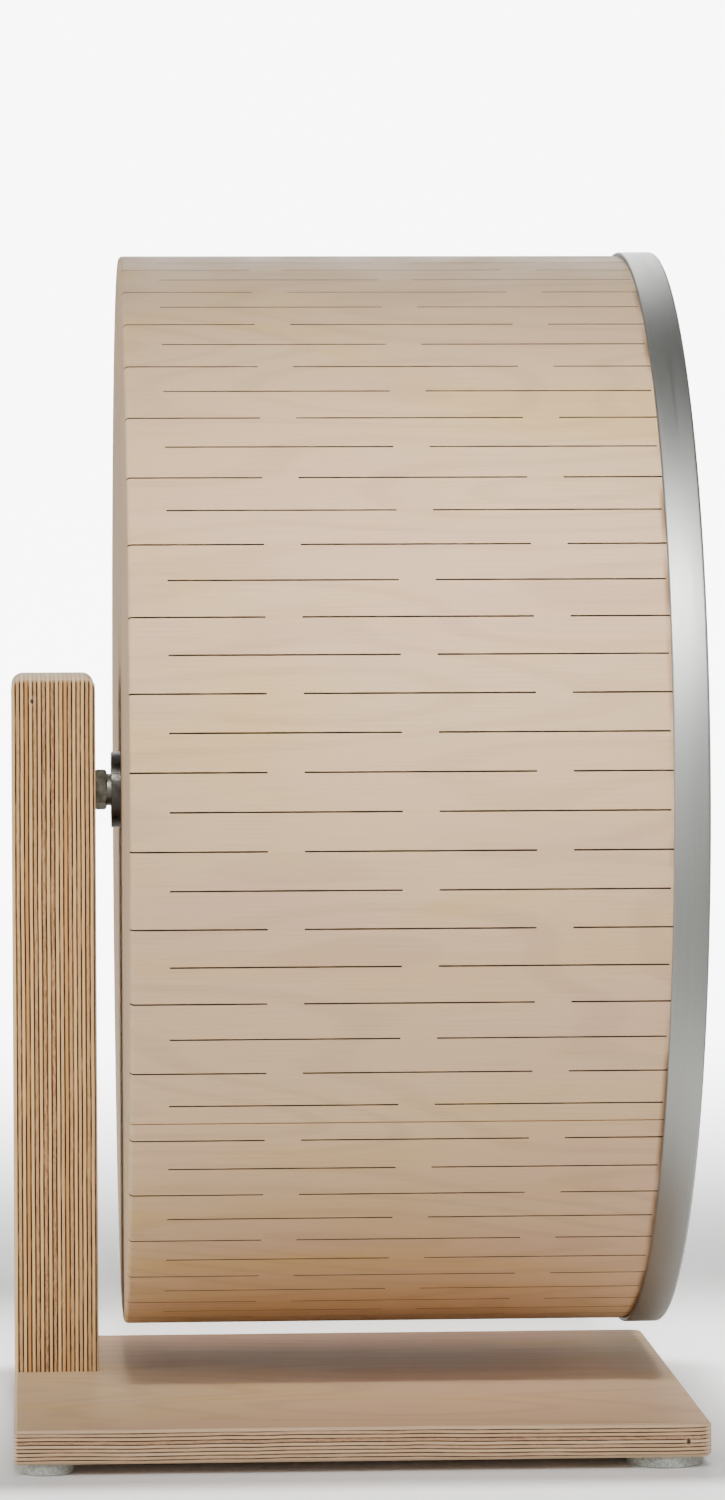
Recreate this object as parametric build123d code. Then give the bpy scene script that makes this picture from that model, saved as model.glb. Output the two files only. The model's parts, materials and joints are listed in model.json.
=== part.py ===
"""Tortoise exercise wheel: a slit plywood drum with an open mouth, carried on one side by a
post and a flat base, turning on an M6 bolt and two flanged ball bearings.

Millimetres. X runs along the axle from the post to the drum's mouth, Z is up.
The origin is on the ground under the axle, half way along the base board.
"""

import os
from math import cos, degrees, radians, sin

from build123d import *

# drum
wheel_width = 150.0
shell_radius = 150.0
shell_wall = 4.0
shell_edge_round = 1.2
panel_thickness = 9.5
panel_clearance = 0.1
hub_disc_radius = 38.0
hub_disc_thickness = 9.5
hub_disc_edge = 1.5

# slits that let the sheets bend
slit_row_count = 92
slit_length = 60.0
slit_bridge = 9.5
slit_kerf = 0.4
seam_angle = 33.15
seam_extra = 1.45
seam_gap = 0.4

# metal trim round the mouth
trim_width = 9.6
trim_lip = 8.4
trim_metal = 1.0
trim_edge = 0.4
trim_joint_gap = 0.6
trim_clearance = 0.05

# stand
base_thickness = 9.0
base_front = 131.0
base_behind = 48.0
base_overhang = 2.6
base_corner_mouth = 4.0
base_corner_post = 1.5
base_edge = 0.8
post_thickness = 23.4
post_depth = 50.0
post_above_axle = 32.6
post_top_round = 3.4
post_edge_round = 1.0
ground_clearance = 10.4
foot_height = 3.2
foot_radius_post = 7.1
foot_radius_mouth = 10.1
foot_inset = 1.4
foot_edge = 0.4

# screws and dowel that hold the post
post_screw_spread = 32.0
post_screw_radius = 2.5
post_screw_head_radius = 4.8
post_screw_length = 50.0
post_screw_point = 5.0
dowel_radius = 4.0
dowel_length = 18.0
dowel_in_base = 5.0
dowel_chamfer = 0.5
wood_clearance = 0.05

# M6 axle bolt, nuts and washers
bolt_radius = 2.97
bolt_head_flats = 10.0
bolt_head_height = 4.0
bolt_stick_out = 1.6
bolt_tip_chamfer = 0.75
bolt_hole_radius = 3.2
counterbore_radius = 10.5
counterbore_depth = 7.5
metal_clearance = 0.03
head_washer_radius = 9.0
head_washer_thickness = 1.6
nut_flats = 10.0
post_nut_height = 3.4
post_nut_turn = 8.0
hex_corner_cut = 0.5
shim_radius = 4.5
shim_thickness = 1.2
lock_nut_hex = 4.2
lock_nut_collar = 1.9
lock_nut_collar_radius = 4.6
insert_radius = 3.9
insert_depth = 1.5

# flanged ball bearings
bearing_radius = 9.5
bearing_width = 6.0
flange_radius = 10.7
flange_thickness = 2.6
ball_radius = 1.75
ball_pitch_radius = 6.2
ball_count = 7
race_clearance = 0.03
inner_shoulder = 4.75
outer_shoulder = 7.65
cage_wall = 1.5
cage_width = 4.1
pocket_clearance = 0.06
shield_thickness = 0.3
shield_recess = 0.2
shield_gap = 0.2

# screws in the hub disc
hub_screw_count = 4
hub_screw_circle = 28.0
hub_screw_radius = 1.7
hub_screw_head_radius = 3.6
hub_screw_head_height = 2.2
hub_screw_length = 15.0
hub_screw_point = 5.0
hub_screw_crown = 0.9
hub_screw_top_radius = 2.2

# how far a cutting tool runs past the piece that it cuts
cut_past = 1.0

# places that follow from the sizes above
base_length = (
    post_thickness + post_nut_height + shim_thickness + flange_thickness
    + wheel_width + base_overhang
)
post_outer_x = -base_length / 2
post_inner_x = post_outer_x + post_thickness
bearing_face_x = post_inner_x + post_nut_height + shim_thickness
back_x = bearing_face_x + flange_thickness
mouth_x = back_x + wheel_width
panel_inner_x = back_x + panel_thickness
hub_face_x = panel_inner_x + hub_disc_thickness
bearing_end_x = hub_face_x + flange_thickness
lock_nut_x = bearing_end_x + shim_thickness
bolt_end_x = lock_nut_x + lock_nut_hex + lock_nut_collar + bolt_stick_out
head_seat_x = post_outer_x + counterbore_depth - head_washer_thickness
base_bottom_z = foot_height
base_top_z = base_bottom_z + base_thickness
trim_radius = shell_radius + trim_clearance + trim_metal
axle_z = base_top_z + ground_clearance + trim_radius
post_top_z = axle_z + post_above_axle
shell_inner_radius = shell_radius - shell_wall
post_centre_x = (post_outer_x + post_inner_x) / 2

AXLE = Pos(0, 0, axle_z)
STANDING = (Align.CENTER, Align.CENTER, Align.MIN)


def turned(points):
    """A solid of revolution about the axle, from (x, radius) points."""
    profile = make_face(Polyline(*points, close=True))
    return AXLE * revolve(profile, Axis.X, 360)


def disc(x_low, x_high, radius, bore=0.0):
    """A disc or tube on the axle, between two places along it."""
    if bore <= 0:
        return turned([(x_low, 0), (x_high, 0), (x_high, radius), (x_low, radius)])
    return turned([(x_low, bore), (x_high, bore), (x_high, radius), (x_low, radius)])


def hexagon(x_low, height, flats, turn=0.0):
    """A hexagonal prism on the axle with its corners chamfered at both ends."""
    corner = flats / (2 * cos(radians(30)))
    prism = extrude(RegularPolygon(corner, 6), height)
    cone_points = [
        (0, 0), (flats / 2, 0), (corner, hex_corner_cut), (corner, height - hex_corner_cut),
        (flats / 2, height), (0, height),
    ]
    cone = revolve(Plane.XZ * make_face(Polyline(*cone_points, close=True)), Axis.Z, 360)
    return AXLE * Pos(x_low, 0, 0) * Rot(turn, 0, 0) * Rot(0, 90, 0) * (prism & cone)


def dowel_hole(bottom, depth):
    """The round hole for the dowel, standing on its bottom."""
    hole = Cylinder(dowel_radius + wood_clearance, depth, align=STANDING)
    return Pos(post_centre_x, 0, bottom) * hole


def base_board():
    """The plywood base, with eased edges and the holes that hold the post."""
    outline = Rectangle(base_length, base_front + base_behind)
    outline = fillet(outline.vertices().group_by(Axis.X)[0], base_corner_post)
    outline = fillet(outline.vertices().group_by(Axis.X)[-1], base_corner_mouth)
    board = extrude(outline, base_thickness)
    rims = board.faces().sort_by(Axis.Z)[0].edges() + board.faces().sort_by(Axis.Z)[-1].edges()
    board = chamfer(rims, base_edge)
    board = Pos(0, (base_behind - base_front) / 2, base_bottom_z) * board
    board -= dowel_hole(base_top_z - dowel_in_base, dowel_in_base + cut_past)
    for screw in post_screw_places():
        board -= screw * post_screw_solid(wood_clearance)
    return board


def support_post():
    """The upright of thick plywood, bored for the axle bolt and for its own screws and dowel."""
    height = post_top_z - base_top_z
    post = Box(post_thickness, post_depth, height)
    post = fillet(post.edges().filter_by(Axis.Z), post_edge_round)
    post = fillet(post.faces().sort_by(Axis.Z)[-1].edges(), post_top_round)
    post = Pos(post_centre_x, 0, base_top_z + height / 2) * post
    post -= disc(post_outer_x - cut_past, post_inner_x + cut_past, bolt_hole_radius)
    post -= disc(post_outer_x - cut_past, post_outer_x + counterbore_depth, counterbore_radius)
    post -= dowel_hole(base_top_z - cut_past, dowel_length - dowel_in_base + cut_past)
    for screw in post_screw_places():
        post -= screw * post_screw_solid(wood_clearance)
    return post


def post_screw_places():
    """Where the two screws enter the underside of the base."""
    return [
        Pos(post_centre_x, side * post_screw_spread / 2, base_bottom_z) for side in (-1, 1)
    ]


def post_screw_solid(grow=0.0):
    """One countersunk wood screw standing on its head, with its point up."""
    head_depth = post_screw_head_radius - post_screw_radius
    shank = post_screw_radius + grow
    outline = [
        (0, 0), (post_screw_head_radius + grow, 0), (shank, head_depth + grow),
        (shank, post_screw_length - post_screw_point), (0, post_screw_length + grow),
    ]
    return revolve(Plane.XZ * make_face(Polyline(*outline, close=True)), Axis.Z, 360)


def post_screws():
    return [place * post_screw_solid() for place in post_screw_places()]


def post_dowel():
    """The dowel that keeps the post from turning on the base."""
    pin = Cylinder(dowel_radius, dowel_length - wood_clearance, align=STANDING)
    pin = chamfer(pin.edges().filter_by(GeomType.CIRCLE), dowel_chamfer)
    return Pos(post_centre_x, 0, base_top_z - dowel_in_base) * pin


def foot_pad(side_x, side_y):
    """One round pad under a corner of the base; side_x is -1 at the post and 1 at the mouth."""
    radius = foot_radius_post if side_x < 0 else foot_radius_mouth
    pad = Cylinder(radius, foot_height, align=STANDING)
    pad = chamfer(pad.edges().sort_by(Axis.Z)[0], foot_edge)
    reach = base_behind if side_y > 0 else base_front
    return Pos(
        side_x * (base_length / 2 - foot_inset - radius), side_y * (reach - foot_inset - radius), 0
    ) * pad


def row_angles():
    """The angle of each slit row below the side horizontal, and whether it opens at the edges."""
    seam_share = degrees(seam_extra / shell_radius)
    half_rows = slit_row_count // 2
    pitch = (180 - seam_share) / half_rows
    first = (pitch + seam_share) / 2
    rows = []
    for half in (0, 1):
        for row in range(half_rows):
            angle = seam_angle + 180 * half + first + row * pitch
            rows.append((half, angle, (row + half * half_rows) % 2 == 0))
    return rows


def slit_spans(open_ended):
    """The slits of one row, as (low, high) along the axle from the drum's middle."""
    half = slit_length / 2
    edge = wheel_width / 2 + cut_past
    if open_ended:
        return [(-edge, -half - slit_bridge), (-half, half), (half + slit_bridge, edge)]
    return [
        (-slit_bridge / 2 - slit_length, -slit_bridge / 2),
        (slit_bridge / 2, slit_bridge / 2 + slit_length),
    ]


def shell_sheet(half):
    """One of the two bent sheets of the drum, with its rows of slits cut right through."""
    end_x = mouth_x - trim_metal - trim_clearance
    middle_x = back_x + wheel_width / 2
    profile = make_face(
        Polyline(
            (back_x, shell_inner_radius), (end_x, shell_inner_radius), (end_x, shell_radius),
            (back_x, shell_radius), close=True,
        )
    )
    rim = profile.vertices().sort_by(Axis.X)[:2].sort_by(Axis.Y)[-1]
    profile = fillet(rim, shell_edge_round)
    gap_angle = degrees(seam_gap / shell_radius)
    sheet = revolve(profile, Axis.X, 180 - gap_angle)
    turn = 180 + seam_angle + 180 * half + gap_angle / 2
    sheet = Rot(turn, 0, 0) * sheet
    depth = shell_wall * 2
    tools = []
    for row_half, angle, open_ended in row_angles():
        if row_half != half:
            continue
        for low, high in slit_spans(open_ended):
            slot = Box(high - low, depth, slit_kerf)
            place = Pos(middle_x + (low + high) / 2, -(shell_radius - shell_wall / 2), 0)
            tools.append(Rot(angle, 0, 0) * place * slot)
    return AXLE * (sheet - tools)


def back_panel():
    """The plywood disc that closes the drum and carries the outer bearing."""
    radius = shell_inner_radius - panel_clearance
    panel = disc(back_x, panel_inner_x, radius, bearing_radius + metal_clearance)
    for screw in hub_screw_places():
        panel -= screw * hub_screw_solid(wood_clearance)
    return panel


def hub_disc():
    """The smaller plywood disc glued and screwed inside the panel, round the inner bearing."""
    bore = bearing_radius + metal_clearance
    puck = turned([
        (panel_inner_x, bore), (hub_face_x, bore), (hub_face_x, hub_disc_radius - hub_disc_edge),
        (hub_face_x - hub_disc_edge, hub_disc_radius), (panel_inner_x, hub_disc_radius),
    ])
    for screw in hub_screw_places():
        puck -= screw * hub_screw_solid(wood_clearance)
    return puck


def hub_screw_places():
    """Where the screws enter the hub disc, each pointing towards the post."""
    turns = [360 / hub_screw_count * (number + 0.5) for number in range(hub_screw_count)]
    return [
        AXLE * Pos(hub_face_x, hub_screw_circle * cos(radians(t)), hub_screw_circle * sin(radians(t)))
        for t in turns
    ]


def hub_screw_solid(grow=0.0):
    """One pan-head wood screw, its head standing on the hub disc's face."""
    reach = hub_screw_length - hub_screw_head_height
    shank = hub_screw_radius + grow
    rim = hub_screw_head_height - hub_screw_crown
    outline = [
        (-reach - grow, 0), (-reach + hub_screw_point, shank), (0, shank),
        (0, hub_screw_head_radius), (rim, hub_screw_head_radius),
        (hub_screw_head_height, hub_screw_top_radius), (hub_screw_head_height, 0),
    ]
    return revolve(make_face(Polyline(*outline, close=True)), Axis.X, 360)


def hub_screws():
    return [place * hub_screw_solid() for place in hub_screw_places()]


def edge_trim():
    """The U-shaped metal strip bent round the mouth, with its butt joint at the back of the drum."""
    outer = trim_radius
    inner = shell_inner_radius - trim_clearance - trim_metal
    slot_outer = shell_radius + trim_clearance
    slot_inner = shell_inner_radius - trim_clearance
    web_x = mouth_x - trim_metal
    profile = make_face(
        Polyline(
            (mouth_x, inner), (mouth_x, outer), (mouth_x - trim_width, outer),
            (mouth_x - trim_width, slot_outer), (web_x, slot_outer), (web_x, slot_inner),
            (mouth_x - trim_lip, slot_inner), (mouth_x - trim_lip, inner), close=True,
        )
    )
    rims = profile.vertices().group_by(Axis.Y)
    profile = chamfer(rims[0] + rims[-1], trim_edge)
    gap_angle = degrees(trim_joint_gap / outer)
    strip = revolve(profile, Axis.X, 360 - gap_angle)
    return AXLE * Rot(gap_angle / 2, 0, 0) * strip


def axle_bolt():
    """The M6 bolt: its hexagon head sits in the post's counterbore and its end shows in the drum."""
    shank = turned([
        (head_seat_x, 0), (head_seat_x, bolt_radius), (bolt_end_x - bolt_tip_chamfer, bolt_radius),
        (bolt_end_x, bolt_radius - bolt_tip_chamfer), (bolt_end_x, 0),
    ])
    return shank + hexagon(head_seat_x - bolt_head_height, bolt_head_height, bolt_head_flats)


def lock_nut():
    """The self-locking nut: a hexagon with a round collar that holds the insert."""
    bore = bolt_radius + metal_clearance
    hexagon_end = lock_nut_x + lock_nut_hex
    collar_end = hexagon_end + lock_nut_collar
    body = hexagon(lock_nut_x, lock_nut_hex, nut_flats)
    body += disc(hexagon_end, collar_end, lock_nut_collar_radius)
    body -= disc(lock_nut_x - cut_past, collar_end + cut_past, bore)
    return body - disc(collar_end - insert_depth, collar_end + cut_past, insert_radius)


def lock_nut_insert():
    collar_end = lock_nut_x + lock_nut_hex + lock_nut_collar
    return disc(
        collar_end - insert_depth, collar_end, insert_radius - metal_clearance,
        bolt_radius + metal_clearance,
    )


def ball_track(middle_x):
    """The ring-shaped groove that the balls run in."""
    groove = Torus(ball_pitch_radius, ball_radius + race_clearance)
    return AXLE * Pos(middle_x, 0, 0) * Rot(0, 90, 0) * groove


def bearing_middles():
    """The middle of each bearing along the axle, and the side that its flange is on."""
    return [
        (bearing_face_x + bearing_width / 2, -1),
        (bearing_end_x - bearing_width / 2, 1),
    ]


def bearing_inner_ring(which):
    middle_x = bearing_middles()[which][0]
    half = bearing_width / 2
    ring = disc(middle_x - half, middle_x + half, inner_shoulder, bolt_radius + metal_clearance)
    return ring - ball_track(middle_x)


def bearing_outer_ring(which):
    middle_x, side = bearing_middles()[which]
    half = bearing_width / 2
    ring = disc(middle_x - half, middle_x + half, bearing_radius, outer_shoulder)
    outside = middle_x + side * half
    low, high = sorted((outside, outside - side * flange_thickness))
    ring += disc(low, high, flange_radius, outer_shoulder)
    return ring - ball_track(middle_x)


def bearing_shields():
    """The thin steel rings that close both sides of both bearings."""
    rings = []
    for middle_x, _ in bearing_middles():
        for side in (-1, 1):
            near = middle_x + side * (bearing_width / 2 - shield_recess)
            low, high = sorted((near, near - side * shield_thickness))
            rings.append(disc(low, high, outer_shoulder - metal_clearance, inner_shoulder + shield_gap))
    return rings


def ball_places(middle_x):
    step = 360 / ball_count
    return [
        AXLE * Pos(middle_x, 0, 0) * Rot(number * step, 0, 0) * Pos(0, 0, ball_pitch_radius)
        for number in range(ball_count)
    ]


def bearing_balls():
    """The two rows of steel balls."""
    middles = [middle_x for middle_x, _ in bearing_middles()]
    return [place * Sphere(ball_radius) for middle_x in middles for place in ball_places(middle_x)]


def bearing_cages():
    """The ring in each bearing that keeps the balls apart."""
    cages = []
    for middle_x, _ in bearing_middles():
        ring = disc(
            middle_x - cage_width / 2, middle_x + cage_width / 2,
            ball_pitch_radius + cage_wall / 2, ball_pitch_radius - cage_wall / 2,
        )
        for place in ball_places(middle_x):
            ring -= place * Cylinder(ball_radius + pocket_clearance, 2 * cage_wall)
        cages.append(ring)
    return cages


def nut_on_post():
    """The thin nut that locks the bolt to the post."""
    nut = hexagon(post_inner_x, post_nut_height, nut_flats, post_nut_turn)
    far = post_inner_x + post_nut_height + cut_past
    return nut - disc(post_inner_x - cut_past, far, bolt_radius + metal_clearance)


def sleeve_on_bolt(x_low, x_high, radius):
    """A washer, shim or spacer that the bolt passes through."""
    return disc(x_low, x_high, radius, bolt_radius + metal_clearance)


def nodes():
    """Every node of the part by its name."""
    made = {
        "base_board": base_board(),
        "support_post": support_post(),
        "post_screws": post_screws(),
        "post_dowel": post_dowel(),
        "axle_bolt": axle_bolt(),
        "bolt_head_washer": sleeve_on_bolt(
            head_seat_x, head_seat_x + head_washer_thickness, head_washer_radius
        ),
        "post_nut": nut_on_post(),
        "outer_shim": sleeve_on_bolt(bearing_face_x - shim_thickness, bearing_face_x, shim_radius),
        "outer_bearing_inner_ring": bearing_inner_ring(0),
        "bearing_spacer": sleeve_on_bolt(
            bearing_face_x + bearing_width, bearing_end_x - bearing_width, shim_radius
        ),
        "inner_bearing_inner_ring": bearing_inner_ring(1),
        "inner_shim": sleeve_on_bolt(bearing_end_x, lock_nut_x, shim_radius),
        "lock_nut": lock_nut(),
        "lock_nut_insert": lock_nut_insert(),
        "shell_sheet_lower": shell_sheet(0),
        "shell_sheet_upper": shell_sheet(1),
        "back_panel": back_panel(),
        "hub_disc": hub_disc(),
        "hub_screws": hub_screws(),
        "edge_trim": edge_trim(),
        "outer_bearing_outer_ring": bearing_outer_ring(0),
        "inner_bearing_outer_ring": bearing_outer_ring(1),
        "bearing_shields": bearing_shields(),
        "bearing_balls": bearing_balls(),
        "bearing_cages": bearing_cages(),
    }
    for end, side_x in (("post", -1), ("mouth", 1)):
        for place, side_y in (("front", -1), ("back", 1)):
            made[f"foot_pad_{end}_{place}"] = foot_pad(side_x, side_y)
    return made


def main():
    os.makedirs("parts", exist_ok=True)
    for name, shape in nodes().items():
        pieces = shape if isinstance(shape, list) else [shape]
        solids = [solid for piece in pieces for solid in piece.solids()]
        whole = solids[0] if len(solids) == 1 else Compound(solids)
        export_step(whole, f"parts/{name}.step")


if __name__ == "__main__":
    main()
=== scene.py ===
import json
import math

import bmesh
import bpy
from mathutils import Matrix, Vector


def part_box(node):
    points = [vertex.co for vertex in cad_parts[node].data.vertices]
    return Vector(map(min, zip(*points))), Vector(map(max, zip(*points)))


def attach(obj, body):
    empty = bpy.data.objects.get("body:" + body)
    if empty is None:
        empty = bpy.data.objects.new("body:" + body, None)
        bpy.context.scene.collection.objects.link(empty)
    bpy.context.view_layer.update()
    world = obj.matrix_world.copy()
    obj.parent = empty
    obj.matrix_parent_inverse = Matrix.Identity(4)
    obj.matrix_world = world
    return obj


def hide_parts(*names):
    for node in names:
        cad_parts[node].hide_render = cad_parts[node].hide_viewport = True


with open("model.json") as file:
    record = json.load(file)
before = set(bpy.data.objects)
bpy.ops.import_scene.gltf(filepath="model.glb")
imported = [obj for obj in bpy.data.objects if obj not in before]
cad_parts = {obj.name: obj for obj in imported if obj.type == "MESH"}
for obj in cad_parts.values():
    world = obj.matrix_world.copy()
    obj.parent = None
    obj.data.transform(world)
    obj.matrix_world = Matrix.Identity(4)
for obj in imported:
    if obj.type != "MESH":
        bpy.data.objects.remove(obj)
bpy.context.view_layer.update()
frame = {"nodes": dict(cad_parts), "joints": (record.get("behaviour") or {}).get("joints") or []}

MM = 0.001

# metal strip round the mouth
TRIM_METAL = 1.0 * MM
TRIM_GAP = 0.05 * MM

# places read from the frame
AXLE_Z = next(j for j in frame["joints"] if j["name"] == "wheel_spin")["pos_m"][2]
BACK_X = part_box("back_panel")[0].x
MOUTH_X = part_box("edge_trim")[1].x
PANEL_IN_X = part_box("back_panel")[1].x
WHEEL_MIDDLE_X = (BACK_X + MOUTH_X) / 2
SHELL_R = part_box("edge_trim")[1].z - AXLE_Z - TRIM_GAP - TRIM_METAL
POST_LOW, POST_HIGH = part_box("support_post")
BASE_LOW, BASE_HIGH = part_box("base_board")

# drum sheet, in metres and degrees
SHELL_WALL = 4 * MM
SHELL_EDGE_ROUND = 1.2 * MM
SLIT_ROWS = 92
SLIT_LENGTH = 60 * MM
SLIT_BRIDGE = 9.5 * MM
# depth under the drum's surface, width of the slit there and how far the cut wanders sideways
CUT_DEPTHS = ((0.0, 0.36 * MM, 0.0), (2.0 * MM, 0.2 * MM, 0.4 * MM), (4.0 * MM, 0.2 * MM, 0.0))
SEAM_ANGLE = 33.15
SEAM_EXTRA = 1.45 * MM
SEAM_GAP = 0.4 * MM

# screws: radius of the hub's circle of screws, and the space between the post's two
HUB_SCREW_CIRCLE = 28 * MM
POST_SCREW_SPREAD = 32 * MM

# knots on the front edges, in millimetres: x, z and radius
POST_KNOT = (-85.8, 199.4, 0.8)
BASE_KNOT = (85.2, 7.4, 0.9)


# small helpers for meshes

def new_object(name, bm, material, body, smooth_angle=30):
    """Turns a bmesh into a piece that rides on a body."""
    mesh = bpy.data.meshes.new(name)
    bm.normal_update()
    bm.to_mesh(mesh)
    bm.free()
    piece = bpy.data.objects.new(name, mesh)
    bpy.context.scene.collection.objects.link(piece)
    for item in material if isinstance(material, list) else [material]:
        mesh.materials.append(item)
    mesh.polygons.foreach_set("use_smooth", [True] * len(mesh.polygons))
    mesh.set_sharp_from_angle(angle=math.radians(smooth_angle))
    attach(piece, body)
    return piece


def on_axle(x, radius, angle):
    """A point at a radius round the axle; angle 0 points away from the viewer and 90 up."""
    return Vector((x, radius * math.cos(angle), AXLE_Z + radius * math.sin(angle)))


def lathe(bm, outline, steps, start, sweep):
    """Revolves a closed (x, radius) outline through part of a turn and caps both ends."""
    angles = [start + sweep * i / steps for i in range(steps + 1)]
    rings = [[bm.verts.new(on_axle(x, r, a)) for x, r in outline] for a in angles]
    count = len(outline)
    for near, far in zip(rings, rings[1:]):
        for j in range(count):
            k = (j + 1) % count
            bm.faces.new((near[j], near[k], far[k], far[j]))
    bm.faces.new(list(reversed(rings[0])))
    bm.faces.new(rings[-1])
    bmesh.ops.recalc_face_normals(bm, faces=bm.faces)


def rounded(points, radii, steps=5):
    """Rounds the corners of a closed (x, radius) outline."""
    out = []
    count = len(points)
    for i, radius in enumerate(radii):
        here = Vector(points[i])
        if radius <= 0:
            out.append(tuple(here))
            continue
        before = (Vector(points[i - 1]) - here).normalized()
        after = (Vector(points[(i + 1) % count]) - here).normalized()
        half = before.angle(after) / 2
        centre = here + (before + after).normalized() * radius / math.sin(half)
        start = here + before * radius / math.tan(half)
        end = here + after * radius / math.tan(half)
        first = start - centre
        turn = first.angle_signed(end - centre)
        for k in range(steps + 1):
            spoke = first.copy()
            spoke.rotate(Matrix.Rotation(-turn * k / steps, 2))
            out.append(tuple(centre + spoke))
    return out


# small helpers for materials

class Paint:
    """One procedural material, built a node at a time."""

    def __init__(self, name):
        self.material = bpy.data.materials.new(name)
        self.material.use_nodes = True
        self.tree = self.material.node_tree
        self.shader = self.tree.nodes["Principled BSDF"]
        coords = self.node("ShaderNodeTexCoord")
        self.spot = self.math_vector("SCALE", coords.outputs["Object"], 1000.0)
        split = self.node("ShaderNodeSeparateXYZ", self.spot)
        self.x, self.y, self.z = split.outputs[0], split.outputs[1], split.outputs[2]
        geometry = self.node("ShaderNodeNewGeometry")
        facing = self.node("ShaderNodeVectorTransform", geometry.outputs["True Normal"])
        facing.vector_type = "NORMAL"
        facing.convert_from = "WORLD"
        facing.convert_to = "OBJECT"
        way = self.node("ShaderNodeSeparateXYZ", facing.outputs[0])
        self.nx, self.ny, self.nz = way.outputs[0], way.outputs[1], way.outputs[2]

    def node(self, kind, *inputs):
        made = self.tree.nodes.new(kind)
        for socket, value in zip(made.inputs, inputs):
            self.feed(socket, value)
        return made

    def feed(self, socket, value):
        """Links a socket to another, or sets its value."""
        if isinstance(value, bpy.types.NodeSocket):
            self.tree.links.new(value, socket)
        else:
            socket.default_value = value

    def math(self, operation, *values, clamp=False):
        made = self.tree.nodes.new("ShaderNodeMath")
        made.operation = operation
        made.use_clamp = clamp
        for socket, value in zip(made.inputs, values):
            self.feed(socket, value)
        return made.outputs[0]

    def math_vector(self, operation, vector, scale):
        made = self.tree.nodes.new("ShaderNodeVectorMath")
        made.operation = operation
        self.feed(made.inputs[0], vector)
        self.feed(made.inputs["Scale"], scale)
        return made.outputs[0]

    def length(self, first, second):
        """The length of a line with these two parts at right angles."""
        squares = [self.math("POWER", part, 2.0) for part in (first, second)]
        return self.math("SQRT", self.math("ADD", *squares))

    def above_axle(self):
        """Millimetres above the axle's level."""
        return self.math("SUBTRACT", self.z, AXLE_Z / MM)

    def vector(self, x, y, z):
        return self.node("ShaderNodeCombineXYZ", x, y, z).outputs[0]

    def stretch(self, x=1.0, y=1.0, z=1.0, along=None):
        """The place on the piece in millimetres, scaled along each axis."""
        parts = along or (self.x, self.y, self.z)
        return self.vector(*[self.math("MULTIPLY", p, s) for p, s in zip(parts, (x, y, z))])

    def noise(self, vector, scale=1.0, detail=3.0, rough=0.5, warp=0.0):
        made = self.tree.nodes.new("ShaderNodeTexNoise")
        names = ("Vector", "Scale", "Detail", "Roughness", "Distortion")
        for name, value in zip(names, (vector, scale, detail, rough, warp)):
            self.feed(made.inputs[name], value)
        return made.outputs["Fac"]

    def chance(self, value, seed=0.0):
        """A steady random value from 0 to 1 for each whole number."""
        made = self.tree.nodes.new("ShaderNodeTexWhiteNoise")
        made.noise_dimensions = "1D"
        self.feed(made.inputs["W"], self.math("ADD", value, seed))
        return made.outputs["Value"]

    def remap(self, value, low, high, to_low=0.0, to_high=1.0, smooth=True):
        made = self.tree.nodes.new("ShaderNodeMapRange")
        made.interpolation_type = "SMOOTHSTEP" if smooth else "LINEAR"
        made.clamp = True
        for socket, item in zip(made.inputs, (value, low, high, to_low, to_high)):
            self.feed(socket, item)
        return made.outputs[0]

    def mix(self, factor, first, second, blend="MIX"):
        made = self.tree.nodes.new("ShaderNodeMix")
        made.data_type = "RGBA"
        made.blend_type = blend
        made.clamp_factor = True
        self.feed(made.inputs[0], factor)
        # the colours of this node are its inputs 6 and 7 and its output 2
        for number, color in ((6, first), (7, second)):
            linked = isinstance(color, bpy.types.NodeSocket)
            self.feed(made.inputs[number], color if linked else (*color, 1.0))
        return made.outputs[2]

    def tint(self, color, factor, amount):
        """Darkens a colour by up to amount where factor is 1."""
        shade = self.math("SUBTRACT", 1.0, self.math("MULTIPLY", factor, amount))
        grey = self.node("ShaderNodeCombineColor", shade, shade, shade).outputs[0]
        return self.mix(1.0, color, grey, "MULTIPLY")

    def bump(self, height, strength, distance):
        made = self.tree.nodes.new("ShaderNodeBump")
        self.feed(made.inputs["Strength"], strength)
        self.feed(made.inputs["Distance"], distance)
        self.feed(made.inputs["Height"], height)
        self.feed(self.shader.inputs["Normal"], made.outputs[0])

    def glow(self, strength):
        self.shader.inputs["Emission Color"].default_value = (1.0, 1.0, 1.0, 1.0)
        self.feed(self.shader.inputs["Emission Strength"], strength)

    def finish(self, color, roughness, metallic=0.0, specular=0.35):
        self.feed(self.shader.inputs["Base Color"], color)
        self.feed(self.shader.inputs["Roughness"], roughness)
        self.shader.inputs["Metallic"].default_value = metallic
        self.shader.inputs["Specular IOR Level"].default_value = specular
        return self.material


def srgb(red, green, blue):
    """A colour given in the 0 to 255 values of a screen, as linear light."""
    def linear(value):
        value /= 255
        return value / 12.92 if value <= 0.04045 else ((value + 0.055) / 1.055) ** 2.4
    return tuple(linear(v) for v in (red, green, blue))


# plywood

BIRCH = srgb(203, 172, 136)
BIRCH_YELLOW = srgb(201, 169, 120)
BIRCH_PINK = srgb(199, 165, 136)
BURNT = srgb(30, 18, 11)
# pale wood for the ring round a knot, also used as painted highlight on the plies' edges
PALE_RING_AND_HIGHLIGHT = srgb(214, 192, 162)
# colours of the plies' edges: long grain light and tan, end grain, stained ply
POST_PLIES = (srgb(200, 164, 115), srgb(178, 140, 98), srgb(130, 92, 62), srgb(172, 126, 78))
BASE_PLIES = (srgb(203, 173, 140), srgb(186, 152, 120), srgb(150, 115, 91), srgb(178, 140, 104))
PANEL_PLIES = (srgb(206, 182, 150), srgb(184, 156, 124), srgb(150, 118, 92), srgb(184, 146, 108))
GLUE = srgb(42, 26, 18)
# brown for the band beside the drum's metal strip: partly burnt sheet edge, partly painted shadow
BURN_AND_SHADOW_BROWN = srgb(96, 66, 44)


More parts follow.
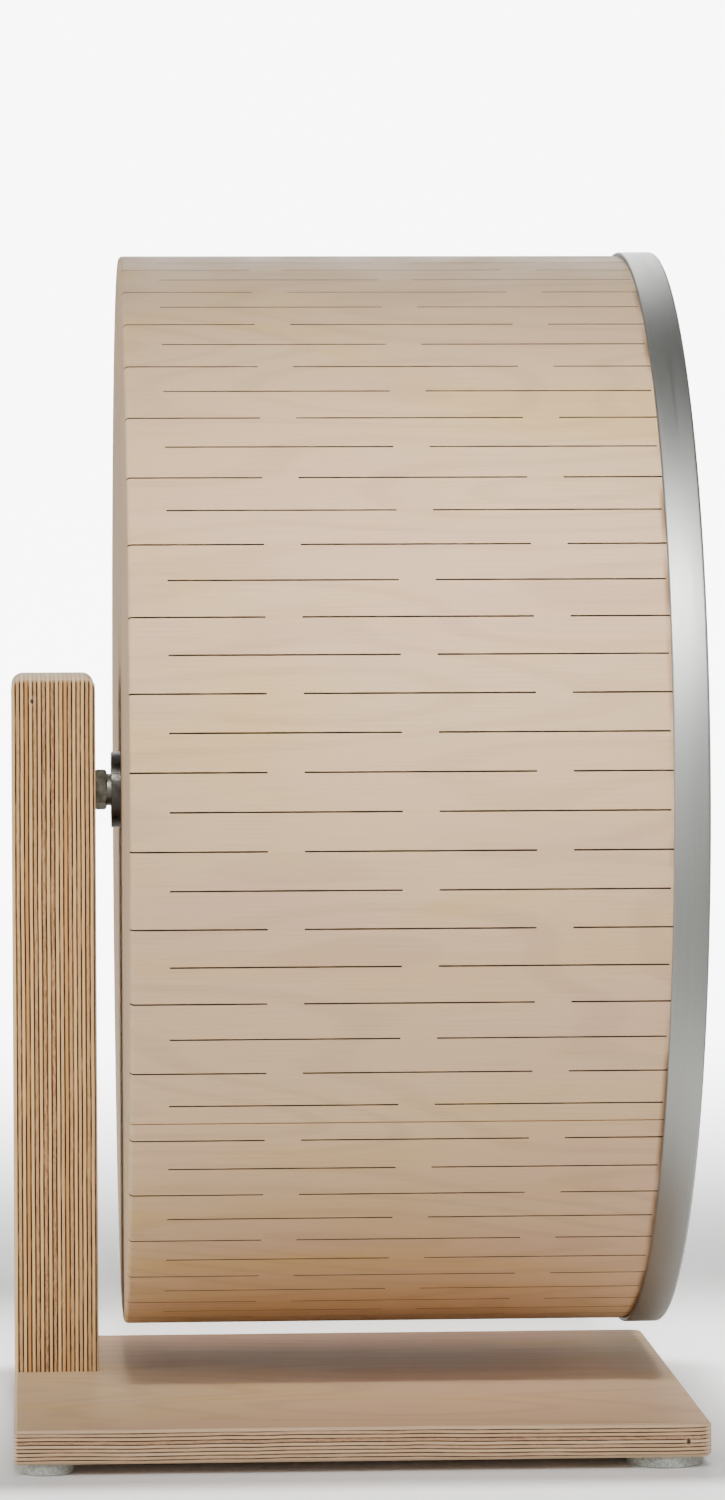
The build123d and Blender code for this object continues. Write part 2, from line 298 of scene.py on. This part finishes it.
def veneer(paint, along, across, third, seed=0.0, tone=BIRCH):
    """Rotary-cut birch: faint pink and yellow patches, cathedral bands, fine fibres and short pores."""
    shifted = paint.math("ADD", along, seed)
    wide = paint.stretch(0.009, 0.034, 0.03, along=(shifted, across, third))
    patches = paint.noise(wide, 1.0, 4.0, 0.55, 0.9)
    color = paint.mix(paint.remap(patches, 0.46, 0.68, 0.0, 0.85), tone, BIRCH_YELLOW)
    blush = paint.noise(paint.stretch(0.004, 0.016, 0.03, along=(shifted, across, third)), 1.7, 2.0)
    color = paint.mix(paint.math("MULTIPLY", paint.remap(blush, 0.42, 0.68), 0.75), color, BIRCH_PINK)
    # cathedral bands follow the level lines of one slow noise
    hills = paint.noise(paint.stretch(0.0045, 0.02, 0.02, along=(shifted, across, third)), 1.0, 1.5, 0.4)
    bands = paint.math("SINE", paint.math("MULTIPLY", hills, 95.0))
    color = paint.tint(color, paint.remap(bands, 0.2, 1.0), 0.07)
    fibres = paint.noise(paint.stretch(0.035, 2.4, 2.4, along=(shifted, across, third)), 1.0, 5.0, 0.6)
    color = paint.tint(color, paint.remap(fibres, 0.42, 0.72), 0.10)
    pores = paint.noise(paint.stretch(0.11, 5.5, 5.5, along=(shifted, across, third)), 1.0, 2.0, 0.5)
    pore_mask = paint.remap(pores, 0.66, 0.74)
    color = paint.tint(color, pore_mask, 0.16)
    ridges, pits = [paint.math("MULTIPLY", part, 0.5) for part in (fibres, pore_mask)]
    return color, paint.math("SUBTRACT", ridges, pits)


def ply_edge(paint, plies, depth, along, across, pitch, seed, glue_width, sway, first):
    """The cut edge of plywood: plies of alternating grain with thin dark glue lines between."""
    light_color, tan_color, end_color, stained_color = plies
    wave = paint.noise(paint.stretch(0.02, 0.02, 0.02, along=(depth, along, across)), 1.0, 2.0)
    waver = paint.math("MULTIPLY", paint.math("SUBTRACT", wave, 0.5), sway)
    place = paint.math("DIVIDE", paint.math("ADD", paint.math("SUBTRACT", depth, first), waver), pitch)
    layer = paint.math("FLOOR", place)
    inside = paint.math("FRACT", place)
    pick = paint.chance(layer, seed)
    other = paint.chance(layer, seed + 17.3)
    odd = paint.math("PINGPONG", layer, 1.0)
    streak = paint.noise(paint.stretch(1.4, 0.035, 1.4, along=(depth, along, across)), 1.0, 5.0, 0.65)
    dashes = paint.noise(paint.stretch(4.5, 0.5, 4.5, along=(depth, along, across)), 1.0, 3.0, 0.6)
    light = paint.mix(paint.remap(streak, 0.4, 0.75), light_color, tan_color)
    dark = paint.mix(paint.remap(dashes, 0.38, 0.66), tan_color, end_color)
    color = paint.mix(paint.math("MULTIPLY", odd, paint.remap(other, 0.1, 0.7, 0.35, 1.0)), light, dark)
    color = paint.mix(paint.remap(pick, 0.86, 0.9, 0.0, 0.8), color, stained_color)
    edge = paint.math("MINIMUM", inside, paint.math("SUBTRACT", 1.0, inside))
    from_line = paint.math("MULTIPLY", edge, pitch)
    broken = paint.noise(paint.stretch(0.9, 0.09, 0.9, along=(depth, along, across)), 1.0, 4.0, 0.65)
    strength = paint.remap(broken, 0.25, 0.55, 0.55, 1.0)
    line = paint.remap(from_line, glue_width, glue_width * 2.2, 1.0, 0.0)
    color = paint.mix(paint.math("MULTIPLY", line, strength), color, GLUE)
    height = paint.math("SUBTRACT", paint.math("MULTIPLY", dashes, 0.4), line)
    return color, height


def knot(paint, color, x, z, radius):
    """A small dark knot on the front edge of a board, with a paler ring round it."""
    aside = paint.math("SUBTRACT", paint.x, x)
    above = paint.math("MULTIPLY", paint.math("SUBTRACT", paint.z, z), 0.7)
    rough_edge = paint.math("MULTIPLY", paint.noise(paint.spot, 2.0, 2.0), radius * 0.8)
    away = paint.math("ADD", paint.length(aside, above), rough_edge)
    front = paint.math("LESS_THAN", paint.ny, -0.5)
    ring = paint.math("MULTIPLY", front, paint.remap(away, radius * 1.2, radius * 2.0, 0.2, 0.0))
    core = paint.math("MULTIPLY", front, paint.remap(away, radius * 0.7, radius * 1.3, 0.9, 0.0))
    return paint.mix(core, paint.mix(ring, color, PALE_RING_AND_HIGHLIGHT), BURNT)


def shown_on(paint, component, low=0.6, high=0.8):
    """1 where the surface faces along this component of its normal, else 0."""
    return paint.remap(paint.math("ABSOLUTE", component), low, high)


def plywood(name, axis, low, thickness, count, seed, plies, tone=BIRCH, glue_width=0.13, sway=0.5):
    """Plywood whose plies are stacked along one axis, with its face grain along X or Z."""
    paint = Paint(name)
    if axis == "x":
        depth, normal, grain = paint.x, paint.nx, paint.z
    else:
        depth, normal, grain = paint.z, paint.nz, paint.x
    face, face_height = veneer(paint, grain, paint.y, depth, seed, tone)
    pitch = thickness / count
    side, side_height = ply_edge(paint, plies, depth, grain, paint.y, pitch, seed, glue_width, sway, low)
    # painted highlight: the plies' edges are paler wherever they do not face straight front or back, as
    # on the rounded corners and the top, standing in for the key light falling there
    painted_highlight = paint.remap(paint.math("ABSOLUTE", paint.ny), 0.6, 0.92, 0.6, 0.0)
    side = paint.mix(painted_highlight, side, PALE_RING_AND_HIGHLIGHT)
    mask = shown_on(paint, normal)
    color = paint.mix(mask, side, face)
    height = paint.math(
        "ADD",
        paint.math("MULTIPLY", face_height, mask),
        paint.math("MULTIPLY", side_height, paint.math("SUBTRACT", 1.0, mask)),
    )
    paint.bump(height, 0.35, 0.0002)
    return paint, color


def drum_ply():
    """The bent sheet: grain along the axle, slits with a burnt halo, and beside the metal strip a brown
    band that is partly burnt edge and partly painted shadow.
    """
    paint = Paint("drum_sheet_birch")
    above = paint.above_axle()
    below, before = [paint.math("MULTIPLY", part, -1.0) for part in (above, paint.y)]
    angle = paint.math("ARCTAN2", below, before)
    radius = paint.length(above, paint.y)
    around = paint.math("MULTIPLY", angle, SHELL_R / MM)
    color, height = veneer(paint, paint.x, around, radius, 40.0)
    halo = slit_halo(paint, angle)
    wobble = paint.noise(paint.stretch(0.12, 0.5, 0.5, along=(paint.x, around, radius)), 1.0, 3.0, 0.6)
    burn = paint.math("MULTIPLY", halo, paint.remap(wobble, 0.3, 0.65, 0.1, 0.75))
    color = paint.mix(burn, color, BURNT)
    # a brown band on the wood beside the metal strip: partly the sheet's burnt edge, partly painted
    # shadow where the strip meets the wood
    strip_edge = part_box("edge_trim")[0].x / MM
    burn_and_shadow_noise = paint.noise(paint.stretch(0.02, 0.03, 0.03, along=(paint.x, around, radius)), 1.0, 2.0)
    beside = paint.remap(paint.x, strip_edge - 1.7, strip_edge - 0.1, 0.0, 0.75)
    color = paint.mix(paint.math("MULTIPLY", beside, paint.remap(burn_and_shadow_noise, 0.4, 0.6)), color, BURN_AND_SHADOW_BROWN)
    paint.bump(height, 0.25, 0.0002)
    rough = paint.remap(paint.noise(paint.spot, 0.05, 2.0), 0.3, 0.7, 0.52, 0.62)
    return paint.finish(color, rough, specular=0.08)


def slit_halo(paint, angle):
    """1 on the wood right beside a slit, 0 a little further away."""
    pitch, first = row_angles()
    turn = paint.math("SUBTRACT", angle, math.radians(SEAM_ANGLE))
    turn = paint.math("FLOORED_MODULO", turn, 2 * math.pi)
    half = paint.math("FLOOR", paint.math("DIVIDE", turn, math.pi))
    local = paint.math("SUBTRACT", turn, paint.math("MULTIPLY", half, math.pi))
    row_place = paint.math("DIVIDE", paint.math("SUBTRACT", local, first), pitch)
    row = paint.math("ROUND", row_place)
    off = paint.math("ABSOLUTE", paint.math("SUBTRACT", row_place, row))
    off_mm = paint.math("MULTIPLY", off, pitch * SHELL_R / MM)
    odd = paint.math("FLOORED_MODULO", row, 2.0)
    from_middle = paint.math("SUBTRACT", paint.x, WHEEL_MIDDLE_X / MM)
    reach = paint.math("ABSOLUTE", from_middle)
    half_slit = SLIT_LENGTH / MM / 2
    bridge = SLIT_BRIDGE / MM
    even_cut = paint.math("MAXIMUM", paint.math("LESS_THAN", reach, half_slit),
                          paint.math("GREATER_THAN", reach, half_slit + bridge))
    odd_cut = paint.math("MULTIPLY", paint.math("GREATER_THAN", reach, bridge / 2),
                         paint.math("LESS_THAN", reach, bridge / 2 + 2 * half_slit))
    cut = paint.math("ADD", paint.math("MULTIPLY", even_cut, paint.math("SUBTRACT", 1.0, odd)),
                     paint.math("MULTIPLY", odd_cut, odd))
    return paint.math("MULTIPLY", cut, paint.remap(off_mm, 0.15, 0.36, 1.0, 0.0))


def burnt_wood():
    paint = Paint("burnt_slit_wall")
    char = paint.noise(paint.stretch(0.4, 2.0, 2.0), 1.0, 4.0, 0.6)
    color = paint.mix(paint.remap(char, 0.3, 0.7), srgb(22, 13, 8), srgb(44, 27, 17))
    paint.bump(char, 0.3, 0.0001)
    return paint.finish(color, 0.8)


# metals and pads

def brushed_aluminium():
    """Satin strip with fine lines round the drum."""
    paint = Paint("satin_aluminium")
    above = paint.above_axle()
    radius = paint.length(above, paint.y)
    angle = paint.math("ARCTAN2", above, paint.y)
    lines = paint.noise(paint.stretch(6.0, 3.0, 6.0, along=(paint.x, angle, radius)), 1.0, 3.0, 0.6)
    cloud = paint.noise(paint.spot, 0.02, 3.0)
    color = paint.mix(lines, srgb(140, 141, 137), srgb(162, 163, 159))
    color = paint.tint(color, paint.remap(cloud, 0.4, 0.7), 0.06)
    paint.bump(lines, 0.12, 0.0001)
    rough = paint.remap(lines, 0.3, 0.7, 0.43, 0.52)
    return paint.finish(color, rough, metallic=1.0, specular=0.5)


def steel_look(paint, dark, light):
    """Blotched grey with fine scratches; gives the colour, the scratches and the blotches."""
    blotch = paint.noise(paint.spot, 0.35, 4.0, 0.6)
    scratch = paint.noise(paint.stretch(0.6, 5.0, 5.0), 1.0, 3.0, 0.6)
    color = paint.mix(paint.remap(blotch, 0.3, 0.7), dark, light)
    color = paint.tint(color, paint.remap(scratch, 0.5, 0.75), 0.18)
    return color, scratch, blotch


def dull_steel(name, dark, light, rough_low, rough_high):
    """Zinc-grey steel with blotches and fine scratches."""
    paint = Paint(name)
    color, scratch, blotch = steel_look(paint, dark, light)
    paint.bump(scratch, 0.25, 0.0001)
    rough = paint.remap(blotch, 0.3, 0.7, rough_low, rough_high)
    return paint.finish(color, rough, metallic=0.9, specular=0.5)


def threaded_steel(name, dark, light):
    """The bolt: plain on its head and end, with a thread of one millimetre round its shank."""
    paint = Paint(name)
    color, scratch, blotch = steel_look(paint, dark, light)
    turn = paint.math("ARCTAN2", paint.above_axle(), paint.y)
    wave = paint.math("SINE", paint.math("ADD", paint.math("MULTIPLY", paint.x, 2 * math.pi), turn))
    shank = paint.math(
        "MULTIPLY",
        paint.remap(paint.math("ABSOLUTE", paint.nx), 0.3, 0.6, 1.0, 0.0),
        paint.math("GREATER_THAN", paint.x, POST_HIGH.x / MM),
    )
    shaded_groove = paint.math("MULTIPLY", shank, paint.remap(wave, -0.9, 0.2, 1.0, 0.0))
    # painted shade: the grooves of the thread are darkened
    color = paint.tint(color, shaded_groove, 0.6)
    height = paint.math("SUBTRACT", paint.math("MULTIPLY", scratch, 0.1), shaded_groove)
    paint.bump(height, 0.8, 0.0004)
    return paint.finish(color, paint.remap(blotch, 0.3, 0.7, 0.35, 0.5), metallic=0.9, specular=0.5)


def off_middle(paint, value, middle):
    """How far a value is from the middle of a screw's head."""
    return paint.math("ABSOLUTE", paint.math("SUBTRACT", value, middle))


def hub_heads(paint):
    """The way to the middle of a hub screw's head along two axes, and its facing."""
    # the four screws stand at equal distances from the axle's level and upright planes
    aside = HUB_SCREW_CIRCLE * math.sqrt(0.5) / MM
    across = off_middle(paint, paint.math("ABSOLUTE", paint.y), aside)
    upward = off_middle(paint, paint.math("ABSOLUTE", paint.above_axle()), aside)
    return across, upward, paint.nx


def post_heads(paint):
    """The way to the middle of a post screw's head along two axes, and its facing."""
    along = off_middle(paint, paint.x, (POST_LOW.x + POST_HIGH.x) / 2 / MM)
    across = off_middle(paint, paint.math("ABSOLUTE", paint.y), POST_SCREW_SPREAD / 2 / MM)
    return along, across, paint.math("MULTIPLY", paint.nz, -1.0)


def crossed_steel(name, dark, light, heads):
    """Screw steel with a cross recess in the middle of each head, painted dark as shade."""
    paint = Paint(name)
    color, scratch, blotch = steel_look(paint, dark, light)
    first, second, facing = heads(paint)
    thin = paint.math("LESS_THAN", paint.math("MINIMUM", first, second), 0.38)
    short = paint.math("LESS_THAN", paint.math("MAXIMUM", first, second), 1.7)
    cross = paint.math("MULTIPLY", thin, short)
    recess = paint.math("MULTIPLY", cross, paint.math("GREATER_THAN", facing, 0.5))
    # painted shade: the cross recess is darkened
    color = paint.tint(color, recess, 0.85)
    paint.bump(paint.math("SUBTRACT", paint.math("MULTIPLY", scratch, 0.1), recess), 0.8, 0.0006)
    return paint.finish(color, paint.remap(blotch, 0.3, 0.7, 0.35, 0.5), metallic=0.9, specular=0.5)


def grey_pad():
    """Grey felted pad with short fibres and cloudy patches."""
    paint = Paint("grey_pad")
    fibre = paint.noise(paint.spot, 1.6, 5.0, 0.7)
    cloud = paint.noise(paint.spot, 0.12, 3.0, 0.5)
    color = paint.mix(paint.remap(fibre, 0.3, 0.7), srgb(146, 150, 144), srgb(196, 199, 190))
    color = paint.tint(color, paint.remap(cloud, 0.45, 0.7), 0.25)
    paint.bump(fibre, 0.5, 0.0003)
    return paint.finish(color, 0.85)


def white_nylon():
    paint = Paint("nylon")
    haze = paint.noise(paint.spot, 0.5, 3.0)
    color = paint.mix(haze, srgb(205, 206, 200), srgb(228, 228, 222))
    paint.bump(haze, 0.1, 0.0001)
    return paint.finish(color, 0.4)


def turned_beech():
    paint = Paint("beech_dowel")
    color, height = veneer(paint, paint.z, paint.y, paint.x, 90.0, srgb(206, 170, 128))
    paint.bump(height, 0.3, 0.0002)
    return paint.finish(color, 0.6)


# the drum sheet, with its slits

def row_angles():
    """The angle between rows of slits, and that from a seam to the first row."""
    seam_share = SEAM_EXTRA / SHELL_R
    pitch = (math.pi - seam_share) / (SLIT_ROWS // 2)
    return pitch, (pitch + seam_share) / 2


def slit_lines():
    """Places along the axle where a slit begins or ends, measured from the drum's middle."""
    half = SLIT_LENGTH / 2
    bridge = SLIT_BRIDGE
    even = [-half - bridge, -half, half, half + bridge]
    odd = [-bridge / 2 - SLIT_LENGTH, -bridge / 2, bridge / 2, bridge / 2 + SLIT_LENGTH]
    return sorted(even + odd)


def is_cut(middle, open_ended):
    """Whether a slit runs past this place along the axle, in a row of this kind."""
    reach = abs(middle)
    half = SLIT_LENGTH / 2
    if open_ended:
        return reach < half or reach > half + SLIT_BRIDGE
    return SLIT_BRIDGE / 2 < reach < SLIT_BRIDGE / 2 + SLIT_LENGTH


def sheet_columns(end_x):
    """(x, outer radius) of each line across the sheet, with the rounded rim at the back."""
    columns = []
    steps = 5
    for k in range(steps + 1):
        turn = math.pi / 2 * k / steps
        columns.append((
            BACK_X + SHELL_EDGE_ROUND * (1 - math.cos(turn)),
            SHELL_R - SHELL_EDGE_ROUND + SHELL_EDGE_ROUND * math.sin(turn),
        ))
    columns += [(WHEEL_MIDDLE_X + line, SHELL_R) for line in slit_lines()]
    columns.append((end_x, SHELL_R))
    return columns


def sheet_rows(half, kerf, wander):
    """The angle of each line round half the drum, and which kind of slit, if any, lies between."""
    pitch, first = row_angles()
    half_rows = SLIT_ROWS // 2
    half_kerf = kerf / SHELL_R / 2
    gap = SEAM_GAP / SHELL_R / 2
    between = 3
    angles = [gap]
    kinds = []

    def wood_up_to(end):
        start = angles[-1]
        for k in range(1, between + 1):
            angles.append(start + (end - start) * k / between)
            kinds.append(None)

    for row in range(half_rows):
        middle = first + row * pitch + wander / SHELL_R
        wood_up_to(middle - half_kerf)
        angles.append(middle + half_kerf)
        kinds.append((row + half * half_rows) % 2 == 0)
    wood_up_to(math.pi - gap)
    return angles, kinds


def shell_sheet(name, half, wood, char):
    """One bent half sheet, its slits cut through and their walls burnt."""
    columns = sheet_columns(MOUTH_X - TRIM_GAP - TRIM_METAL)
    turn = math.radians(180 + SEAM_ANGLE + 180 * half)
    bm = bmesh.new()
    layers = []
    for depth, kerf, wander in CUT_DEPTHS:
        angles, kinds = sheet_rows(half, kerf, wander)
        layers.append([
            [bm.verts.new(on_axle(x, min(r, SHELL_R - depth), turn + a)) for x, r in columns]
            for a in angles
        ])
    outer, inner = layers[0], layers[-1]

    def solid(i, j):
        if not (0 <= i < len(kinds) and 0 <= j < len(columns) - 1):
            return False
        if kinds[i] is None:
            return True
        middle = (columns[j][0] + columns[j + 1][0]) / 2 - WHEEL_MIDDLE_X
        return not is_cut(middle, kinds[i])

    def wall(i, j, i2, j2, inside):
        for above, below in zip(layers, layers[1:]):
            face = bm.faces.new((above[i][j], above[i2][j2], below[i2][j2], below[i][j]))
            face.material_index = 1 if inside else 0

    for i in range(len(kinds)):
        for j in range(len(columns) - 1):
            if not solid(i, j):
                continue
            bm.faces.new((outer[i][j], outer[i][j + 1], outer[i + 1][j + 1], outer[i + 1][j]))
            bm.faces.new((inner[i][j], inner[i + 1][j], inner[i + 1][j + 1], inner[i][j + 1]))
            if not solid(i - 1, j):
                wall(i, j, i, j + 1, i > 0)
            if not solid(i + 1, j):
                wall(i + 1, j, i + 1, j + 1, i + 1 < len(kinds))
            if not solid(i, j - 1):
                wall(i, j, i + 1, j, j > 0)
            if not solid(i, j + 1):
                wall(i, j + 1, i + 1, j + 1, j + 1 < len(columns) - 1)
    loose = [v for v in bm.verts if not v.link_faces]
    bmesh.ops.delete(bm, geom=loose, context="VERTS")
    bmesh.ops.recalc_face_normals(bm, faces=bm.faces)
    return new_object(name, bm, [wood, char], "wheel", 40)


# metal trim round the mouth

def trim_ring(material):
    """The bent strip with soft outer corners and its butt joint at the back."""
    low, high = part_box("edge_trim")
    outer = SHELL_R + TRIM_GAP + TRIM_METAL
    inner = SHELL_R - SHELL_WALL - TRIM_GAP - TRIM_METAL
    outer_under, inner_under = SHELL_R + TRIM_GAP, inner + TRIM_METAL
    bend = high.x - TRIM_METAL
    lip = low.x + 1.2 * MM
    points = [
        (high.x, inner), (high.x, outer), (low.x, outer), (low.x, outer_under),
        (bend, outer_under), (bend, inner_under), (lip, inner_under), (lip, inner),
    ]
    radii = [0.8 * MM, 0.8 * MM, 0.45 * MM, 0.1 * MM, 0.0, 0.0, 0.1 * MM, 0.45 * MM]
    opening = 0.6 * MM / outer
    bm = bmesh.new()
    lathe(bm, rounded(points, radii), 360, opening / 2, 2 * math.pi - opening)
    piece = new_object("trim_strip", bm, material, "wheel", 35)
    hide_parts("edge_trim")


# stage, light and camera

def floor():
    """A pale floor that bends up into a pale wall far behind."""
    bm = bmesh.new()
    front, back, top, half_width = -6.0, 4.0, 5.0, 7.0
    bend, bend_steps = 1.5, 12
    path = [(front, 0.0), (back - bend, 0.0)]
    for k in range(1, bend_steps + 1):
        turn = math.pi / 2 * k / bend_steps
        path.append((back - bend + bend * math.sin(turn), bend - bend * math.cos(turn)))
    path.append((back, top))
    left = [bm.verts.new((-half_width, y, z)) for y, z in path]
    right = [bm.verts.new((half_width, y, z)) for y, z in path]
    for i in range(len(path) - 1):
        bm.faces.new((left[i], right[i], right[i + 1], left[i + 1]))
    mesh = bpy.data.meshes.new("studio_floor")
    bm.to_mesh(mesh)
    bm.free()
    mesh.polygons.foreach_set("use_smooth", [True] * len(mesh.polygons))
    sweep = bpy.data.objects.new("studio_floor", mesh)
    bpy.context.scene.collection.objects.link(sweep)
    mesh.materials.append(studio_paper())


def studio_paper():
    """White paper that glows behind the wheel, round the base's shadow and faintly further off."""
    paint = Paint("studio_paper")
    # the wedge of paper behind the wheel in the photo's view, widening from the photographer
    view_distance, view_slope, view_half_width = 1650.0, 0.058, 0.0622
    off_line = paint.math("SUBTRACT", paint.x, paint.math("MULTIPLY", paint.y, view_slope))
    half_width = paint.math("MULTIPLY", paint.math("ADD", paint.y, view_distance), view_half_width)
    aside = paint.math("DIVIDE", paint.math("ABSOLUTE", off_line), half_width)
    inside = paint.remap(aside, 1.15, 1.9, 1.0, 0.0)
    behind = paint.math("MULTIPLY", inside, paint.remap(paint.y, 200.0, 1300.0, 0.0, 7.0))
    # a soft bright border round the shadow of the base
    outside = []
    for place, low, high in ((paint.x, BASE_LOW.x, BASE_HIGH.x), (paint.y, BASE_LOW.y, BASE_HIGH.y)):
        from_middle = paint.math("ABSOLUTE", paint.math("SUBTRACT", place, (low + high) / 2 / MM))
        beyond = paint.math("SUBTRACT", from_middle, (high - low) / 2 / MM)
        outside.append(paint.math("MAXIMUM", beyond, 0.0))
    away = paint.length(*outside)
    rise, fade = paint.remap(away, 8.0, 34.0, 0.0, 1.3), paint.remap(away, 60.0, 230.0, 1.0, 0.0)
    border = paint.math("MULTIPLY", rise, fade)
    # a faint even light from all the paper further off
    far = paint.remap(paint.length(paint.x, paint.y), 500.0, 2400.0, 0.0, 0.6)
    paint.glow(paint.math("ADD", far, paint.math("ADD", behind, border)))
    cloud = paint.noise(paint.spot, 0.002, 2.0)
    return paint.finish(paint.mix(cloud, (0.93, 0.93, 0.93), (0.95, 0.95, 0.95)), 0.9)


def area_light(name, place, target, size, power, spread=180.0):
    data = bpy.data.lights.new(name, "AREA")
    data.spread = math.radians(spread)
    data.shape = "RECTANGLE"
    data.size, data.size_y = size
    data.energy = power
    light = bpy.data.objects.new(name, data)
    light.location = place
    way = Vector(target) - Vector(place)
    light.rotation_mode = "QUATERNION"
    light.rotation_quaternion = way.to_track_quat("-Z", "Y")
    bpy.context.scene.collection.objects.link(light)


def lights():
    area_light("key_softbox", (-0.3, -1.55, 1.35), (0.0, 0.0, 0.15), (1.3, 1.3), 15.0)
    area_light("beam_softbox", (0.03, -1.245, 1.235), (0.03, -0.13, 0.225), (0.3, 0.1), 0.35, 13.0)
    area_light("front_softbox", (-0.3, -2.4, 0.35), (0.0, 0.0, 0.15), (1.4, 0.6), 7.0)
    area_light("left_softbox", (-1.9, -0.45, 0.5), (-0.08, 0.0, 0.15), (0.8, 0.8), 16.0)
    area_light("right_softbox", (2.0, -0.7, 0.9), (0.0, 0.0, 0.15), (1.0, 1.0), 9.0)
    world = bpy.data.worlds.new("studio_air")
    bpy.context.scene.world = world
    world.use_nodes = True
    air = world.node_tree.nodes["Background"]
    air.inputs[0].default_value = (1.0, 1.0, 1.0, 1.0)
    air.inputs[1].default_value = 0.07


def camera():
    """The photograph's camera, fitted to the drum's outline, its slit rows and the stand."""
    distance, side, lift = 1.6458, -0.1015, 0.0754
    yaw, pitch, roll = 0.0577, -0.0392, -0.0033
    focal_pixels, tall_pixels = 5830.0, 1500.0
    data = bpy.data.cameras.new("photo_camera")
    data.sensor_width = 36.0
    data.lens = focal_pixels / tall_pixels * data.sensor_width
    data.clip_start, data.clip_end = 0.05, 50.0
    forward = Vector((math.sin(yaw) * math.cos(pitch), math.cos(yaw) * math.cos(pitch), math.sin(pitch)))
    level = Vector((math.cos(yaw), -math.sin(yaw), 0.0))
    upright = level.cross(forward)
    right = math.cos(roll) * level + math.sin(roll) * upright
    up = -math.sin(roll) * level + math.cos(roll) * upright
    turn = Matrix((right, up, -forward)).transposed().to_4x4()
    eye = bpy.data.objects.new("photo_camera", data)
    eye.matrix_world = Matrix.Translation((WHEEL_MIDDLE_X + side, -distance, AXLE_Z + lift)) @ turn
    bpy.context.scene.collection.objects.link(eye)
    bpy.context.scene.camera = eye


def repaint(names, material):
    """Gives CAD nodes this material alone."""
    for name in names:
        mesh = frame["nodes"][name].data
        mesh.materials.clear()
        mesh.materials.append(material)


def build():
    camera()
    lights()
    floor()
    drum = drum_ply()
    char = burnt_wood()
    for half, node in enumerate(("shell_sheet_lower", "shell_sheet_upper")):
        sheet = shell_sheet(f"bent_sheet_{half + 1}", half, drum, char)
        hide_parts(node)
    trim_ring(brushed_aluminium())

    post_paint, post_color = plywood(
        "post_plywood", "x", POST_LOW.x / MM, (POST_HIGH.x - POST_LOW.x) / MM, 19.5, 3.0, POST_PLIES
    )
    post_color = knot(post_paint, post_color, *POST_KNOT)
    repaint(["support_post"], post_paint.finish(post_color, 0.7, specular=0.06))
    base_paint, base_color = plywood(
        "base_plywood", "z", BASE_LOW.z / MM, (BASE_HIGH.z - BASE_LOW.z) / MM, 9, 31.0, BASE_PLIES,
        srgb(198, 170, 133), 0.09, 1.6
    )
    base_color = knot(base_paint, base_color, *BASE_KNOT)
    repaint(["base_board"], base_paint.finish(base_color, 0.7, specular=0.02))
    panel_paint, panel_color = plywood(
        "panel_plywood", "x", BACK_X / MM, (PANEL_IN_X - BACK_X) / MM, 7, 57.0, PANEL_PLIES,
        srgb(196, 176, 146)
    )
    repaint(["back_panel", "hub_disc"], panel_paint.finish(panel_color, 0.7, specular=0.02))

    dark_zinc, light_zinc = srgb(104, 104, 94), srgb(150, 148, 136)
    steel = dull_steel("zinc_steel", dark_zinc, light_zinc, 0.35, 0.55)
    repaint([
        "bolt_head_washer", "post_nut", "outer_shim", "bearing_spacer", "inner_shim", "lock_nut",
        "bearing_cages",
    ], steel)
    repaint(["axle_bolt"], threaded_steel("zinc_bolt", dark_zinc, light_zinc))
    repaint(["hub_screws"], crossed_steel("hub_screw_steel", dark_zinc, light_zinc, hub_heads))
    repaint(["post_screws"], crossed_steel("post_screw_steel", dark_zinc, light_zinc, post_heads))
    bearing = dull_steel("bearing_steel", srgb(64, 62, 57), srgb(96, 94, 88), 0.3, 0.5)
    repaint([
        "outer_bearing_inner_ring", "inner_bearing_inner_ring", "outer_bearing_outer_ring",
        "inner_bearing_outer_ring", "bearing_shields", "bearing_balls",
    ], bearing)
    repaint([name for name in frame["nodes"] if name.startswith("foot_pad")], grey_pad())
    repaint(["lock_nut_insert"], white_nylon())
    repaint(["post_dowel"], turned_beech())


build()
